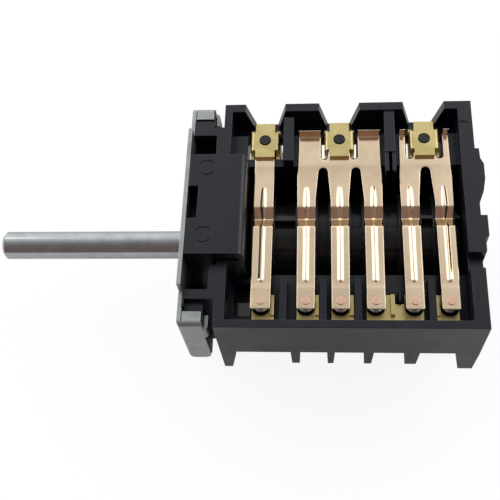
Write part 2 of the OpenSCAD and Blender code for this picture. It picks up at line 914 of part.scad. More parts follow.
// Leaf spring with fingers at the given places, from an outline in plan
module leaf(places) {
    difference() {
        union() {
            intersection() {
                translate([0, 0, seat_z]) along_x(contact_x, rear_x) strip_side(leaf_t);
                upright(seat_z - 3, seat_z + 3) children();
            }
            for (x = places) {
                bead_body(x, bead_w / 2, leaf_t / 2, leaf_t + bead_h * 0.6, 0);
                bead_body(x, bead_w / 2 - 0.2, leaf_t / 2, leaf_t + bead_h, 0.15);
            }
        }
        for (x = places) {
            bead_body(x, bead_w / 2 - leaf_t, -0.2, bead_h, 0.5);
            translate([x, contact_y, seat_z - eps]) cylinder(h = leaf_t + 2 * eps, r = rivet_r);
        }
    }
}

module leaf_spring_single() {
    x = single_x;
    color(bronze)
        difference() {
            leaf([x]) finger_plan(x, single_w, root_y);
            translate([x, peg_y, seat_z - eps]) cylinder(h = leaf_t + 2 * eps, r = peg_hole_r);
        }
}

// Plan of the common root of several fingers, with a round-topped slot between each two
module comb_root_plan(places) {
    w = finger_w / 2;
    x0 = places[0];
    x1 = places[len(places) - 1];
    joint_y = vee_y + 2;
    slot_r = 1;
    slot_y = 10.1;
    gap = finger_pitch / 2 - w;
    difference() {
        polygon([
            [x0 - w, joint_y], [x0 - w - 0.12, 9], [x0 - w + 0.05, 11.5], [x0 - w + 0.15, comb_root_y],
            [x1 + w - 0.15, comb_root_y], [x1 + w - 0.05, 11.5], [x1 + w + 0.12, 9], [x1 + w, joint_y]
        ]);
        for (i = [0 : len(places) - 2])
            translate([places[i] + finger_pitch / 2, 0]) {
                translate([0, slot_y]) circle(r = slot_r);
                polygon([
                    [-slot_r, slot_y], [slot_r, slot_y], [gap, joint_y + 1.5], [gap, joint_y],
                    [-gap, joint_y], [-gap, joint_y + 1.5]
                ]);
            }
    }
}

// Comb of several fingers; its root is slotted for the clip and turned up at the rear
module comb(places, clip_x) {
    slot_r = 0.85;
    slot_x = 3;
    slot_y = ear_y0 + 0.15;
    lip_h = 2.2;
    w = finger_w / 2 - 0.15;
    lip_gap = slot_x + slot_r;
    lips = [
        [places[0] - w, clip_x - lip_gap],
        [clip_x + lip_gap, places[len(places) - 1] + w]
    ];
    difference() {
        union() {
            leaf(places)
                difference() {
                    union() {
                        comb_root_plan(places);
                        for (x = places)
                            finger_plan(x, finger_w, vee_y + 3);
                    }
                    for (side = [-1, 1])
                        translate([clip_x + side * slot_x, slot_y]) {
                            circle(r = slot_r);
                            rect([-slot_r, 0], [slot_r, comb_root_y]);
                        }
                }
            for (lip = lips)
                block([lip[0], comb_root_y - leaf_t, seat_z], [lip[1], comb_root_y, seat_z + lip_h]);
        }
        translate([clip_x, peg_y, seat_z - eps]) cylinder(h = leaf_t + 2 * eps, r = peg_hole_r);
    }
}

module leaf_spring_triple() {
    color(bronze) comb([fingers[1], fingers[2], fingers[3]], common_x[1]);
}

module leaf_spring_double() {
    color(bronze) comb([fingers[4], fingers[5]], common_x[2]);
}

// Brass stamping on the deck: a pad with a dish for each contact and a blade to its tab;
// where it serves two fingers, a narrow bridge joins the two pads
module fixed_terminal(i) {
    a = fingers[terminal_first[i]];
    b = fingers[terminal_last[i]];
    contacts = a == b ? [a] : [a, b];
    dish_depth = 0.35;
    dish_r = contact_d / 2 + 0.5;
    z1 = deck_z + brass_t;
    blade0 = blade_x(i) - brass_t / 2;
    blade1 = blade_x(i) + brass_t / 2;
    color(brass)
        difference() {
            union() {
                for (x = contacts)
                    block([x - terminal_half, plate_y0, deck_z], [x + terminal_half, plate_y1, z1]);
                block([min(a, blade0), plate_y0, deck_z], [max(a, blade1), plate_y1, z1]);
                block([a, plate_y0, deck_z], [b + terminal_half, bridge_y1, z1]);
                block([blade0, blade_y0, deck_z - 1], [blade1, blade_y1, z1 + (a == b ? 0.4 : 0.9)]);
                mirror([0, 1, 0])
                    along_x(blade0, blade1) tab_outline(-blade_y1, -blade_y0, z1);
            }
            for (x = contacts)
                translate([x, contact_y, z1 - dish_depth]) cylinder(h = 3, r = dish_r);
        }
}

module fixed_terminal_1() {
    fixed_terminal(0);
}

module fixed_terminal_2() {
    fixed_terminal(1);
}

module fixed_terminal_3() {
    fixed_terminal(2);
}

module fixed_terminal_4() {
    fixed_terminal(3);
}

module fixed_terminal_5() {
    fixed_terminal(4);
}

// Contact rivet in a spring tip: a low head above, a domed tip below
module moving_contact(i) {
    head_r = rivet_r + 0.22;
    color(copper)
        translate([fingers[i], contact_y, seat_z]) {
            translate([0, 0, leaf_t]) cylinder(h = 0.18, r = head_r);
            cylinder(h = leaf_t, r = rivet_r - 0.02);
            translate([0, 0, -0.35]) cylinder(h = 0.35, r = contact_d / 2);
            translate([0, 0, -tip_h])
                cylinder(h = tip_h - 0.35, r1 = contact_d / 2 - 0.6, r2 = contact_d / 2);
        }
}

module moving_contact_1() {
    moving_contact(0);
}

module moving_contact_2() {
    moving_contact(1);
}

module moving_contact_3() {
    moving_contact(2);
}

module moving_contact_4() {
    moving_contact(3);
}

module moving_contact_5() {
    moving_contact(4);
}

module moving_contact_6() {
    moving_contact(5);
}

// Silver button in the dish of a fixed terminal
module fixed_contact(i) {
    dish_z = deck_z + brass_t - 0.35;
    top_z = deck_z + brass_t + button_h;
    color(silver)
        translate([fingers[i], contact_y, dish_z]) {
            cylinder(h = top_z - dish_z - 0.25, r = contact_d / 2);
            translate([0, 0, top_z - dish_z - 0.25])
                cylinder(h = 0.25, r1 = contact_d / 2, r2 = contact_d / 2 - 0.4);
        }
}

module fixed_contact_1() {
    fixed_contact(0);
}

module fixed_contact_2() {
    fixed_contact(1);
}

module fixed_contact_3() {
    fixed_contact(2);
}

module fixed_contact_4() {
    fixed_contact(3);
}

module fixed_contact_5() {
    fixed_contact(4);
}

module fixed_contact_6() {
    fixed_contact(5);
}

contact_housing();
detent_housing();
mounting_plate();
shaft();
cam_drum();
detent_wheel();
detent_ball_upper();
detent_ball_lower();
detent_spring_upper();
detent_spring_lower();
common_terminal_1();
common_terminal_2();
common_terminal_3();
leaf_spring_single();
leaf_spring_triple();
leaf_spring_double();
fixed_terminal_1();
fixed_terminal_2();
fixed_terminal_3();
fixed_terminal_4();
fixed_terminal_5();
moving_contact_1();
moving_contact_2();
moving_contact_3();
moving_contact_4();
moving_contact_5();
moving_contact_6();
fixed_contact_1();
fixed_contact_2();
fixed_contact_3();
fixed_contact_4();
fixed_contact_5();
fixed_contact_6();
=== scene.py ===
"""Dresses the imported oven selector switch: finishes, formed springs, camera and studio."""

import json
import math

import bpy
import numpy as np
from mathutils import Matrix, Vector
from mathutils.geometry import delaunay_2d_cdt


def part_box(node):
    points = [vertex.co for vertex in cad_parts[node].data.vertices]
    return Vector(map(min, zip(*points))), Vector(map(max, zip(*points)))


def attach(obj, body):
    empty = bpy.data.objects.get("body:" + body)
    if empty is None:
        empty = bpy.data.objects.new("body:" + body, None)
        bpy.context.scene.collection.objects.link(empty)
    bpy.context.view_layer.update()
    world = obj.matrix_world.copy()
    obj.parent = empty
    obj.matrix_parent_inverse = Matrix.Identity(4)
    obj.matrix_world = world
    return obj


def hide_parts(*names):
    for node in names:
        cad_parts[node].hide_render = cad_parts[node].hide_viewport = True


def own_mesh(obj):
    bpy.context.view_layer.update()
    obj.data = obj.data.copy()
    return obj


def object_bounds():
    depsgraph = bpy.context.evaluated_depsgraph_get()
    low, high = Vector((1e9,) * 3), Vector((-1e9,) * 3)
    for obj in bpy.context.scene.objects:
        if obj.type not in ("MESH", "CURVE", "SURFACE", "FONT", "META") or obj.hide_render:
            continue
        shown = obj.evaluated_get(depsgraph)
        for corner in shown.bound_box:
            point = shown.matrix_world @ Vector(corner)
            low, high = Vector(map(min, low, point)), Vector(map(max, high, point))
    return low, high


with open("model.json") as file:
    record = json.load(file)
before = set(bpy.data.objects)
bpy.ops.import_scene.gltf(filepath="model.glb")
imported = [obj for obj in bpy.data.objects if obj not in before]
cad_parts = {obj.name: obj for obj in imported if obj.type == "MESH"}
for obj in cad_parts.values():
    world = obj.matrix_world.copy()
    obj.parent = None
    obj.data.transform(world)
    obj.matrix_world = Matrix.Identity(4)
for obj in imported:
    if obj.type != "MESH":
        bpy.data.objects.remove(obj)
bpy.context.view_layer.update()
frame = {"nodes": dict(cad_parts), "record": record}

MM = 0.001

# Camera, as found from the photograph's own perspective
PHOTO_PIXELS = 500
FOCAL_PIXELS = 854.19
SENSOR_MM = 36
CAMERA_AT = Vector((28.206, -81.939, 163.792)) * MM
CAMERA_FORWARD = Vector((-0.08919, 0.44013, -0.89349))
CAMERA_UP = Vector((0.0024, 0.89716, 0.4417))


def add_camera():
    data = bpy.data.cameras.new("camera")
    data.sensor_fit = "HORIZONTAL"
    data.sensor_width = SENSOR_MM
    data.lens = FOCAL_PIXELS / PHOTO_PIXELS * SENSOR_MM
    data.clip_start = 0.01
    data.clip_end = 10
    camera = bpy.data.objects.new("camera", data)
    bpy.context.scene.collection.objects.link(camera)
    back = -CAMERA_FORWARD.normalized()
    right = CAMERA_UP.cross(back).normalized()
    up = back.cross(right)
    turn = Matrix((right, up, back)).transposed().to_4x4()
    camera.matrix_world = Matrix.Translation(CAMERA_AT) @ turn
    bpy.context.scene.camera = camera


# How strongly an edge shows, and the sockets of a colour mix by number
EDGE_GAIN = 3.0
MIX_FACTOR, MIX_A, MIX_B, MIX_RESULT = 0, 6, 7, 2


class Finish:
    """A Principled material with helpers for the procedural nodes that feed it."""

    def __init__(self, name, **fixed):
        self.material = bpy.data.materials.new(name)
        self.material.use_nodes = True
        self.tree = self.material.node_tree
        self.shader = self.tree.nodes["Principled BSDF"]
        for socket, value in fixed.items():
            self.shader.inputs[socket.replace("_", " ")].default_value = value
        self.place = self.add("ShaderNodeTexCoord").outputs["Object"]
        self.rounded = None

    def add(self, kind, **settings):
        node = self.tree.nodes.new(kind)
        for key, value in settings.items():
            setattr(node, key, value)
        return node

    def link(self, source, target):
        self.tree.links.new(source, target)

    def noise(self, size_mm, stretch=(1, 1, 1), detail=3, roughness=0.55, distortion=0.0):
        """Noise with features of about size_mm, drawn out along an axis by stretch."""
        mapping = self.add("ShaderNodeMapping")
        mapping.inputs["Scale"].default_value = [1 / s for s in stretch]
        self.link(self.place, mapping.inputs["Vector"])
        noise = self.add("ShaderNodeTexNoise")
        noise.inputs["Scale"].default_value = 1 / (size_mm * MM)
        noise.inputs["Detail"].default_value = detail
        noise.inputs["Roughness"].default_value = roughness
        noise.inputs["Distortion"].default_value = distortion
        self.link(mapping.outputs["Vector"], noise.inputs["Vector"])
        return noise.outputs["Fac"]

    def edges(self, radius_mm):
        """1 on sharp edges, 0 on flat faces; also rounds how the edges are shaded."""
        bevel = self.add("ShaderNodeBevel", samples=6)
        bevel.inputs["Radius"].default_value = radius_mm * MM
        self.rounded = bevel.outputs["Normal"]
        dot = self.add("ShaderNodeVectorMath", operation="DOT_PRODUCT")
        self.link(bevel.outputs["Normal"], dot.inputs[0])
        self.link(self.add("ShaderNodeNewGeometry").outputs["Normal"], dot.inputs[1])
        turned = self.calc("SUBTRACT", 1.0, dot.outputs["Value"])
        return self.calc("MULTIPLY", turned, EDGE_GAIN)

    def calc(self, operation, a, b):
        """One step of arithmetic on numbers or sockets, kept within 0 and 1."""
        node = self.add("ShaderNodeMath", operation=operation, use_clamp=True)
        for socket, value in zip(node.inputs, (a, b)):
            if isinstance(value, (int, float)):
                socket.default_value = value
            else:
                self.link(value, socket)
        return node.outputs["Value"]

    def ramp(self, source, stops):
        """Colour ramp of (position, rgb) stops."""
        node = self.add("ShaderNodeValToRGB")
        points = node.color_ramp.elements
        while len(points) < len(stops):
            points.new(0.5)
        for point, (position, colour) in zip(points, stops):
            point.position = position
            point.color = (*colour, 1)
        self.link(source, node.inputs["Fac"])
        return node.outputs["Color"]

    def spread(self, source, low, high, start=0.3, end=0.7):
        """Maps start..end of a source to low..high."""
        node = self.add("ShaderNodeMapRange")
        node.inputs["From Min"].default_value = start
        node.inputs["From Max"].default_value = end
        node.inputs["To Min"].default_value = low
        node.inputs["To Max"].default_value = high
        self.link(source, node.inputs["Value"])
        return node.outputs["Result"]

    def mix(self, factor, a, b):
        """a where factor is 0 and b where it is 1; each is a source or a plain colour."""
        node = self.add("ShaderNodeMix", data_type="RGBA")
        for number, value in (MIX_FACTOR, factor), (MIX_A, a), (MIX_B, b):
            if isinstance(value, tuple):
                node.inputs[number].default_value = (*value, 1)
            else:
                self.link(value, node.inputs[number])
        return node.outputs[MIX_RESULT]

    def occlusion_shade(self, reach_mm, floor):
        """Painted shade: 1 in the open, falling to floor deep inside narrow recesses."""
        open_air = self.add("ShaderNodeAmbientOcclusion", samples=6)
        open_air.inputs["Distance"].default_value = reach_mm * MM
        return self.spread(open_air.outputs["AO"], floor, 1.0, start=0.15, end=0.8)

    def near_points(self, points_mm, inner_mm, outer_mm):
        """1 within inner_mm of any of the points in plan, falling to 0 at outer_mm."""
        flat = self.add("ShaderNodeVectorMath", operation="MULTIPLY")
        flat.inputs[1].default_value = (1, 1, 0)
        self.link(self.place, flat.inputs[0])
        nearest = None
        for x, y in points_mm:
            gap = self.add("ShaderNodeVectorMath", operation="DISTANCE")
            self.link(flat.outputs["Vector"], gap.inputs[0])
            gap.inputs[1].default_value = (x * MM, y * MM, 0)
            value = gap.outputs["Value"]
            nearest = self.calc("MINIMUM", nearest, value) if nearest else value
        return self.spread(nearest, 1.0, 0.0, start=inner_mm * MM, end=outer_mm * MM)

    def colour(self, source):
        self.link(source, self.shader.inputs["Base Color"])

    def roughness(self, source):
        self.link(source, self.shader.inputs["Roughness"])

    def bump(self, *layers):
        """Chains bump layers of (height source, depth in mm)."""
        normal = self.rounded
        for height, depth_mm in layers:
            node = self.add("ShaderNodeBump")
            node.inputs["Distance"].default_value = depth_mm * MM
            node.inputs["Strength"].default_value = 1.0
            self.link(height, node.inputs["Height"])
            if normal:
                self.link(normal, node.inputs["Normal"])
            normal = node.outputs["Normal"]
        self.link(normal, self.shader.inputs["Normal"])


def moulded_plastic(name, dark, light, gloss, rough):
    """Filled black plastic: fine mould grain, faint flow marks, painted shade that dulls the
    shine in recesses, and a painted highlight on the edges.
    """
    finish = Finish(name, IOR=1.5)
    grain = finish.noise(0.22, detail=4)
    flow = finish.noise(7, stretch=(1, 2.5, 1), detail=4, distortion=1.2)
    body = finish.ramp(flow, [(0.35, dark), (0.7, light)])
    # Painted highlight: the edges get a much lighter colour, broken up by the grain.
    edge_highlight_colour = tuple(channel * 2.6 for channel in light)
    edge_highlight_mask = finish.calc("MULTIPLY", finish.edges(0.22), grain)
    finish.colour(finish.mix(edge_highlight_mask, body, edge_highlight_colour))
    finish.roughness(finish.spread(flow, gloss, rough))
    # Painted shade: the specular level falls with occlusion, so recesses reflect less and look
    # darker.
    shine_less_in_shade = finish.calc("MULTIPLY", finish.occlusion_shade(4.5, 0.22), 0.5)
    finish.link(shine_less_in_shade, finish.shader.inputs["Specular IOR Level"])
    finish.bump((grain, 0.004), (flow, 0.02))
    return finish.material


# The ring of painted shade round each contact: where it starts and ends, and its colour
SHADE_RING_RADII = 1.62, 1.95
SHADE_RING_COLOUR = (0.006, 0.005, 0.004)


def sheet_metal(name, deep, pale, gloss, rough, drawn=1, shade_ring_at=()):
    """Rolled or plated sheet: soft stains, and grain drawn out along Y.

    A dark, rougher ring of painted shade lies round each of the places given."""
    finish = Finish(name, Metallic=1.0)
    grain = finish.noise(0.12, stretch=(1, drawn, 1), detail=5, roughness=0.6)
    stain = finish.noise(5.0, detail=4, roughness=0.6, distortion=0.8)
    tone = finish.ramp(stain, [(0.32, deep), (0.66, pale)])
    # Painted highlight: the edges get a lighter tone than the rest of the sheet.
    edge = tuple(min(1.0, channel * 1.25) for channel in pale)
    tone = finish.mix(finish.edges(0.12), tone, edge)
    dull = finish.calc("MULTIPLY", grain, finish.calc("ADD", stain, 0.45))
    rough_now = finish.spread(dull, gloss, rough, start=0.25, end=0.75)
    # Painted shade: a dark, rougher ring round each given place.
    if shade_ring_at:
        shade_ring = finish.near_points(shade_ring_at, *SHADE_RING_RADII)
        tone = finish.mix(shade_ring, tone, SHADE_RING_COLOUR)
        rough_now = finish.calc("MAXIMUM", rough_now, finish.calc("MULTIPLY", shade_ring, 0.6))
    finish.colour(tone)
    finish.roughness(rough_now)
    finish.bump((grain, 0.0015), (stain, 0.01))
    return finish.material


def turned_metal(name, deep, pale, gloss, rough):
    """Ground or plated round bar: very fine rings round X and a light haze."""
    finish = Finish(name, Metallic=1.0)
    rings = finish.noise(0.09, stretch=(1, 60, 60), detail=4)
    haze = finish.noise(3.0, detail=3, roughness=0.6)
    finish.colour(finish.ramp(haze, [(0.3, deep), (0.7, pale)]))
    finish.roughness(finish.spread(rings, gloss, rough))
    finish.bump((rings, 0.0008))
    return finish.material


# Sizes of the leaf springs in mm, as in the CAD part
FINGER_X = [15.5, 24.2, 30.9, 37.6, 44.9, 51.6]
SINGLE_WIDTH, FINGER_WIDTH = 4.0, 3.6
TRIPLE_CLIP_X, DOUBLE_CLIP_X = 30.9, 48.25
SEAT_Z = 12.85
STRIP = 0.3
TIP_Y = -20.2
CONTACT_Y = -18.5

# One finish for each material slot of the record. A dark ring of painted shade lies on the
# brass round each contact.
SHADE_RING_Y = CONTACT_Y - 0.35
SHADE_RING_CENTRES = [(x, SHADE_RING_Y) for x in FINGER_X]
MATERIALS = {
    "housing_black": moulded_plastic(
        "housing_black", (0.004, 0.006, 0.013), (0.007, 0.009, 0.018), 0.26, 0.38),
    "drum_black": moulded_plastic(
        "drum_black", (0.018, 0.019, 0.021), (0.028, 0.029, 0.031), 0.22, 0.34),
    "zinc_plate": sheet_metal(
        "zinc_plate", (0.33, 0.355, 0.345), (0.45, 0.475, 0.46), 0.34, 0.52, drawn=14),
    "shaft_steel": turned_metal(
        "shaft_steel", (0.44, 0.46, 0.47), (0.54, 0.56, 0.57), 0.12, 0.22),
    "spring_bronze": sheet_metal(
        "spring_bronze", (0.86, 0.66, 0.45), (0.93, 0.74, 0.53), 0.13, 0.22, drawn=22),
    "terminal_brass": sheet_metal(
        "terminal_brass", (0.58, 0.47, 0.20), (0.74, 0.61, 0.29), 0.28, 0.44, drawn=8,
        shade_ring_at=SHADE_RING_CENTRES),
    "contact_rivet": sheet_metal(
        "contact_rivet", (0.92, 0.56, 0.40), (0.98, 0.64, 0.48), 0.26, 0.40),
    "contact_silver": sheet_metal(
        "contact_silver", (0.60, 0.59, 0.56), (0.80, 0.79, 0.76), 0.20, 0.34),
}


def dress(node, slot):
    """Gives a CAD node the finish of its material slot."""
    thing = frame["nodes"][node]
    thing.data.materials.clear()
    thing.data.materials.append(MATERIALS[slot])


for part in frame["record"]["subparts"]:
    dress(part["node"], part["material_slot"])


# Leaf springs, made again at high resolution with rounded beads, vees and rolled edges.
# Along a finger, in mm: where the strip bends, and its height over the seat there
ROOT_FLAT_Y = 11.6
VEE_FAR, VEE_NEAR = 1.9, -2.5
VEE_DEPTH = 1.75
CREASE_Y = -15.9
STRIP_BENDS = [
    (TIP_Y - 1, 0), (CREASE_Y, 0), (CREASE_Y + 0.9, -0.05), (VEE_NEAR, -0.1),
    (0, -VEE_DEPTH), (VEE_FAR, -0.1), (ROOT_FLAT_Y, 0), (30, 0)]

# Between root and vee the strip sags by up to 4/27 of BOW, which is 0.09 mm
BOW = 0.6075

# How the bends are rounded: a weighted mean of the heights within reach
BEND_REACH, BEND_WINDOW, BEND_SAMPLES = 0.28, 0.3, 15

# Half width of the bead along Y: a loop that widens towards the vee and pinches in it.
# The bead is fully high where its half width is at least FULL_BEAD_HALF.
BEAD_HALF_WIDTHS = [
    (-14.6, 0.0), (-14.4, 0.5), (-14.0, 0.76), (-13.2, 0.72), (-6, 0.70), (-2.7, 0.76),
    (-1.2, 0.55), (0, 0.36), (1.0, 0.5), (2.0, 0.78), (3.2, 0.80), (5.6, 0.62),
    (6.5, 0.45), (6.9, 0.0)]
BEAD_HEIGHT = 0.26
FULL_BEAD_HALF = 0.6


def between(y, knots):
    """Straight lines through (place, value) knots."""
    return np.interp(y, [knot[0] for knot in knots], [knot[1] for knot in knots])


def strip_line(y):
    """Height of the strip over its seat along a finger, before the corners are rounded."""
    along = np.clip((ROOT_FLAT_Y - y) / (ROOT_FLAT_Y - VEE_FAR), 0, 1)
    return between(y, STRIP_BENDS) - BOW * along * (1 - along) ** 2


def strip_height(y):
    """Height of the strip along a finger, with rounded corners."""
    reach = np.linspace(-BEND_REACH, BEND_REACH, BEND_SAMPLES)
    weight = 1 + np.cos(np.pi * reach / BEND_WINDOW)
    return sum(w * strip_line(y + r) for r, w in zip(reach, weight)) / weight.sum()


def bead_height(x, y, centres):
    """Height that the beads add; their flanks run out softly into the strip."""
    half = between(y, BEAD_HALF_WIDTHS)
    near = np.min([np.abs(x - centre) for centre in centres], axis=0)
    share = np.clip(near / np.maximum(half, 1e-6), 0, 1)
    full = BEAD_HEIGHT * np.clip(half / FULL_BEAD_HALF, 0, 1)
    return full * np.cos(share * np.pi / 2) ** 2 * (half > 0)


# Places of the mesh points. Rows along a finger, as (from, to, step), lie close together
# where it bends, and columns across it where its bead is.
FINGER_ROWS = [
    (TIP_Y + 0.3, -16.6, 0.6), (-16.6, -13.4, 0.14), (-13.4, -3.4, 0.55), (-3.4, 2.6, 0.12),
    (2.6, 5.4, 0.3), (5.4, 7.1, 0.12), (7.1, 18.0, 0.7)]
FINGER_COLUMNS = [-1.6, -1.35, -1.1, *np.linspace(-0.85, 0.85, 19), 1.1, 1.35, 1.6]
ROOT_GRID, ROOT_GRID_FROM = 0.7, 7.5

# Sides of the outline, in general and beside the vee
EDGE_STEP, VEE_EDGE_STEP = 0.3, 0.12
VEE_MARGIN = 0.6

# The rolled edge: how far in it reaches, how much it drops, and its rows of points
ROLL_REACH, ROLL_DROP = 0.13, 0.035
ROLL_ROWS = (0.05, ROLL_REACH)

# The least distance from an edge, for any inner point and for one of the grid
LEAST_GAP, GRID_GAP = 0.045, 0.2


def arc(x, y, r, start, end, count):
    """Points on an arc between two angles in degrees."""
    angles = np.radians(np.linspace(start, end, count))
    return [(x + r * math.cos(a), y + r * math.sin(a)) for a in angles]


def resample(loop):
    """The closed loop cut into short sides, and shorter ones round the vee."""
    out = []
    for (x0, y0), (x1, y1) in zip(loop, loop[1:] + loop[:1]):
        by_vee = min(y0, y1) < VEE_FAR + VEE_MARGIN and max(y0, y1) > VEE_NEAR - VEE_MARGIN
        step = VEE_EDGE_STEP if by_vee else EDGE_STEP
        count = max(1, math.ceil(math.dist((x0, y0), (x1, y1)) / step))
        out += [(x0 + (x1 - x0) * i / count, y0 + (y1 - y0) * i / count) for i in range(count)]
    return np.array(out)


def distance_to(loop, points):
    """Least distance of each point from a closed loop."""
    side = np.roll(loop, -1, axis=0) - loop
    best = np.full(len(points), 1e9)
    for start, along in zip(loop, side):
        t = np.clip(((points - start) @ along) / (along @ along), 0, 1)
        best = np.minimum(best, np.hypot(*(points - start - t[:, None] * along).T))
    return best


def inside(loop, points):
    """Which points lie inside a closed loop."""
    x, y = points.T
    hit = np.zeros(len(points), bool)
    for (x0, y0), (x1, y1) in zip(loop, np.roll(loop, -1, axis=0)):
        if y0 != y1:
            hit ^= ((y0 > y) != (y1 > y)) & (x < (x1 - x0) * (y - y0) / (y1 - y0) + x0)
    return hit


def inward_normals(loop):
    """Unit normals into a loop that runs anticlockwise."""
    along = np.roll(loop, -1, axis=0) - np.roll(loop, 1, axis=0)
    along /= np.hypot(*along.T)[:, None]
    return np.column_stack([-along[:, 1], along[:, 0]])


def grid_points(outline, centres):
    """Rows and columns of points over the fingers, and a coarser grid over the root."""
    rows = np.concatenate([np.arange(*run) for run in FINGER_ROWS])
    grid = [(centre + dx, y) for centre in centres for dx in FINGER_COLUMNS for y in rows]
    low, high = np.min(outline, axis=0), np.max(outline, axis=0)
    root_x = np.arange(low[0], high[0], ROOT_GRID)
    root_y = np.arange(ROOT_GRID_FROM, high[1], ROOT_GRID)
    return np.array(grid + [(x, y) for x in root_x for y in root_y])


def triangulate(outline, hole, centres):
    """Points and triangles of a plan with one hole, and each point's distance from an edge."""
    rim, hole = resample(outline), np.array(hole)

    def in_plan(points):
        return inside(rim, points) & ~inside(hole, points)

    def from_edge(points):
        return np.minimum(distance_to(rim, points), distance_to(hole, points))

    grid = grid_points(outline, centres)
    inner = np.concatenate([grid] + [rim + inward_normals(rim) * d for d in ROLL_ROWS])
    gap = from_edge(inner)
    in_grid = np.arange(len(inner)) < len(grid)
    keep = in_plan(inner) & (gap > LEAST_GAP) & ~(in_grid & (gap < GRID_GAP))
    plan = np.concatenate([rim, hole, inner[keep]])
    sides, start = [], 0
    for loop in (rim, hole):
        n = len(loop)
        sides += [(start + i, start + (i + 1) % n) for i in range(n)]
        start += n
    cut = delaunay_2d_cdt([Vector(p) for p in plan.tolist()], sides, [], 0, 1e-6)
    points = np.array([tuple(p) for p in cut[0]])
    triangles = np.array(cut[2])
    triangles = triangles[in_plan(points[triangles].mean(axis=1))]
    return points, triangles, from_edge(points)


def sheet_from_plan(outline, hole, centres):
    """Vertices in mm and faces of the strip over a plan: top, underside and edge walls."""
    points, triangles, gap = triangulate(outline, hole, centres)
    x, y = points.T
    roll = ROLL_DROP * np.clip(1 - gap / ROLL_REACH, 0, 1) ** 2
    top = SEAT_Z + STRIP + strip_height(y) + bead_height(x, y, centres) - roll
    under = top - STRIP + 2 * roll
    count = len(points)
    verts = np.concatenate([np.column_stack([points, top]), np.column_stack([points, under])])
    faces = [tuple(t) for t in triangles] + [tuple(t[::-1] + count) for t in triangles]
    edges = [(t[i], t[(i + 1) % 3]) for t in triangles for i in range(3)]
    shared = set(edges)
    faces += [(b, a, a + count, b + count) for a, b in edges if (b, a) not in shared]
    return verts, faces


def turned_up_lip(x0, x1):
    """A bend and an upright lip at the rear of a comb, as a profile pushed along X."""
    outer, top_r = LIP_BEND + STRIP, STRIP / 2
    bend_y, bend_z = COMB_ROOT_Y - outer, SEAT_Z + outer
    top_z = SEAT_Z + LIP_HEIGHT
    profile = arc(bend_y, bend_z, LIP_BEND, -90, 0, 7)
    profile += [(COMB_ROOT_Y - STRIP, top_z - LIP_INNER_DROP)]
    profile += arc(COMB_ROOT_Y - top_r, top_z - top_r, top_r, 180, 0, 7)
    profile += arc(bend_y, bend_z, outer, 0, -90, 7)
    n = len(profile)
    verts = [(x, y, z) for x in (x0, x1) for y, z in profile]
    faces = [(i, i + n, (i + 1) % n + n, (i + 1) % n) for i in range(n)]
    return np.array(verts), faces + [tuple(range(n)), tuple(range(n, 2 * n))[::-1]]


def add_piece(name, parts, slot, node):
    """One mesh from several (vertices in mm, faces) parts, standing in for a CAD node."""
    verts, faces = [], []
    for part_verts, part_faces in parts:
        start = len(verts)
        verts += [tuple(v * MM) for v in part_verts]
        faces += [tuple(int(i) + start for i in f) for f in part_faces]
    mesh = bpy.data.meshes.new(name)
    mesh.from_pydata(verts, [], faces)
    mesh.update()
    mesh.shade_smooth()
    mesh.set_sharp_from_angle(angle=math.radians(50))
    mesh.materials.append(MATERIALS[slot])
    piece = bpy.data.objects.new(name, mesh)
    bpy.context.scene.collection.objects.link(piece)
    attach(piece, "base")
    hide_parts(node)
    return piece


# Outlines of the springs: the hole for the housing's peg, and the comb's slots and lips
PEG_HOLE_R, PEG_Y = 1.2, 17.45
SINGLE_ROOT_Y, COMB_ROOT_Y = 20.2, 19.05
TIP_CORNER = 0.2
JOINT_Y, JOINT_LENGTH = 2.0, 1.5
FINGER_SLOT_R, FINGER_SLOT_Y = 1.0, 10.1
CLIP_SLOT_R, CLIP_SLOT_Y, CLIP_SLOT_X = 0.85, 13.85, 3

# The lip's bend, its height over the seat, how far below its top its inner face ends, and
# where the flat sheet ends in front of the bend
LIP_BEND = 0.35
LIP_HEIGHT, LIP_INNER_DROP = 2.18, 0.06
LIP_Y = COMB_ROOT_Y - LIP_BEND - STRIP

# The side of a comb, from its lip to where its outer finger joins, as (inset, Y)
COMB_SIDE = [(0.15, LIP_Y), (0.05, 11.5), (-0.12, 9), (0, JOINT_Y)]
LIP_INSET = COMB_SIDE[0][0]


def finger_tip(x, width):
    """Outline of a finger from its far left, round its tip, to its far right."""
    root, tip, corner = width / 2, width / 2 - 0.1, TIP_CORNER
    return [
        (x - root, 0), (x - tip, TIP_Y + corner), (x - tip + corner, TIP_Y),
        (x + tip - corner, TIP_Y), (x + tip, TIP_Y + corner), (x + root, 0)]


def finger_slot(x0, x1, width):
    """Outline of the round-topped slot between the fingers at x0 and x1."""
    gap = (x1 - x0) / 2 - width / 2
    middle = (x0 + x1) / 2
    left = [(middle - gap, JOINT_Y), (middle - gap, JOINT_Y + JOINT_LENGTH)]
    right = [(middle + gap, JOINT_Y + JOINT_LENGTH), (middle + gap, JOINT_Y)]
    return left + arc(middle, FINGER_SLOT_Y, FINGER_SLOT_R, 180, 0, 13) + right


def clip_slot(x, right_y, left_y):
    """Outline of the slot beside the clip, open to the rear, from right to left."""
    r = CLIP_SLOT_R
    return [(x + r, right_y)] + arc(x, CLIP_SLOT_Y, r, 0, -180, 13) + [(x - r, left_y)]


